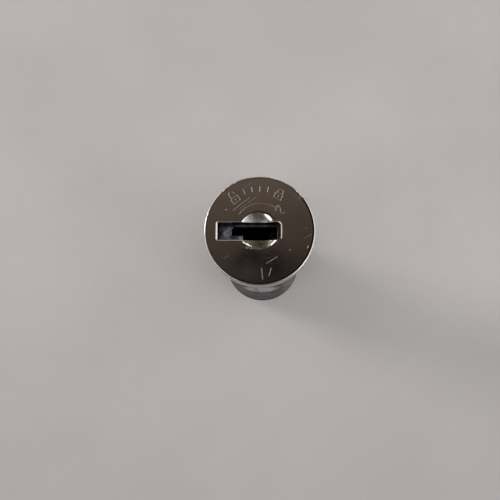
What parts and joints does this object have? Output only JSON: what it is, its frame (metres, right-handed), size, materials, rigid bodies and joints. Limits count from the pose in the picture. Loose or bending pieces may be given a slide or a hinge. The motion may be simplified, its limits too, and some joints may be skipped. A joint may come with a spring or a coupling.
{
  "type": "cam lock",
  "caption": "Round-headed pin tumbler cam lock: a plug turned by a flat key inside a flatted barrel swings a straight cam behind the panel.",
  "frame": {"origin": "on the lock's axis, at the underside of the flange, the plane that seats on the panel", "axes": "+Z out of the lock's face, -Z back through the panel along the barrel; +Y the way the cam points when unlocked; -X the side of the pins"},
  "size_m": [0.0222, 0.0341, 0.0543],
  "materials": {
    "barrel_metal": "satin nickel plate, handled",
    "brass_strip": "dull brass",
    "polymer_washer": "matt black polymer",
    "spring_wire": "stainless spring wire",
    "plug_brass": "machined brass, oiled",
    "face_metal": "polished, fine scratches and edge nicks",
    "hardened_plate": "blue-grey hardened steel, brushed",
    "hardened_pin": "ground hardened steel",
    "spring_steel": "phosphated spring steel",
    "washer_steel": "zinc plated steel",
    "cam_steel": "zinc plated steel",
    "screw_steel": "zinc plated steel",
    "pin_brass": "turned brass",
    "driver_steel": "turned steel"
  },
  "bodies": {
    "housing": {"housing": "barrel_metal", "chamber_cover": "brass_strip", "thrust_washer": "polymer_washer", "pin_spring_1": "spring_wire", "pin_spring_2": "spring_wire", "pin_spring_3": "spring_wire", "pin_spring_4": "spring_wire", "pin_spring_5": "spring_wire", "pin_spring_6": "spring_wire"},
    "plug": {"plug": "plug_brass", "face_cap": "face_metal", "keyway_plate": "hardened_plate", "drill_pins": "hardened_pin", "retaining_ring": "spring_steel", "limit_washer": "washer_steel", "cam": "cam_steel", "cam_lock_washer": "washer_steel", "cam_screw": "screw_steel"},
    "driver_pin_1": {"driver_pin_1": "driver_steel"},
    "key_pin_1": {"key_pin_1": "pin_brass"},
    "driver_pin_2": {"driver_pin_2": "driver_steel"},
    "key_pin_2": {"key_pin_2": "pin_brass"},
    "driver_pin_3": {"driver_pin_3": "driver_steel"},
    "key_pin_3": {"key_pin_3": "pin_brass"},
    "driver_pin_4": {"driver_pin_4": "driver_steel"},
    "key_pin_4": {"key_pin_4": "pin_brass"},
    "driver_pin_5": {"driver_pin_5": "driver_steel"},
    "key_pin_5": {"key_pin_5": "pin_brass"},
    "driver_pin_6": {"driver_pin_6": "driver_steel"},
    "key_pin_6": {"key_pin_6": "pin_brass"}
  },
  "joints": [
    {"name": "plug_turn", "type": "hinge", "parent": "housing", "child": "plug", "pos_m": [0, 0, 0], "axis": [0, 0, 1], "range_deg": [-90, 0]},
    {"name": "driver_drop_1", "type": "slide", "parent": "housing", "child": "driver_pin_1", "axis": [1, 0, 0], "range_m": [0, 0.0008], "deforming": ["pin_spring_1"]},
    {"name": "key_pin_drop_1", "type": "slide", "parent": "plug", "child": "key_pin_1", "axis": [1, 0, 0], "range_m": [0, 0.0008]},
    {"name": "driver_drop_2", "type": "slide", "parent": "housing", "child": "driver_pin_2", "axis": [1, 0, 0], "range_m": [0, 0.0013], "deforming": ["pin_spring_2"]},
    {"name": "key_pin_drop_2", "type": "slide", "parent": "plug", "child": "key_pin_2", "axis": [1, 0, 0], "range_m": [0, 0.0013]},
    {"name": "driver_drop_3", "type": "slide", "parent": "housing", "child": "driver_pin_3", "axis": [1, 0, 0], "range_m": [0, 0.0006], "deforming": ["pin_spring_3"]},
    {"name": "key_pin_drop_3", "type": "slide", "parent": "plug", "child": "key_pin_3", "axis": [1, 0, 0], "range_m": [0, 0.0006]},
    {"name": "driver_drop_4", "type": "slide", "parent": "housing", "child": "driver_pin_4", "axis": [1, 0, 0], "range_m": [0, 0.0011], "deforming": ["pin_spring_4"]},
    {"name": "key_pin_drop_4", "type": "slide", "parent": "plug", "child": "key_pin_4", "axis": [1, 0, 0], "range_m": [0, 0.0011]},
    {"name": "driver_drop_5", "type": "slide", "parent": "housing", "child": "driver_pin_5", "axis": [1, 0, 0], "range_m": [0, 0.0009], "deforming": ["pin_spring_5"]},
    {"name": "key_pin_drop_5", "type": "slide", "parent": "plug", "child": "key_pin_5", "axis": [1, 0, 0], "range_m": [0, 0.0009]},
    {"name": "driver_drop_6", "type": "slide", "parent": "housing", "child": "driver_pin_6", "axis": [1, 0, 0], "range_m": [0, 0.0012], "deforming": ["pin_spring_6"]},
    {"name": "key_pin_drop_6", "type": "slide", "parent": "plug", "child": "key_pin_6", "axis": [1, 0, 0], "range_m": [0, 0.0012]}
  ],
  "couplings": [
    {"joint": "key_pin_drop_1", "follows": "driver_drop_1", "ratio": 1},
    {"joint": "key_pin_drop_2", "follows": "driver_drop_2", "ratio": 1},
    {"joint": "key_pin_drop_3", "follows": "driver_drop_3", "ratio": 1},
    {"joint": "key_pin_drop_4", "follows": "driver_drop_4", "ratio": 1},
    {"joint": "key_pin_drop_5", "follows": "driver_drop_5", "ratio": 1},
    {"joint": "key_pin_drop_6", "follows": "driver_drop_6", "ratio": 1}
  ]
}
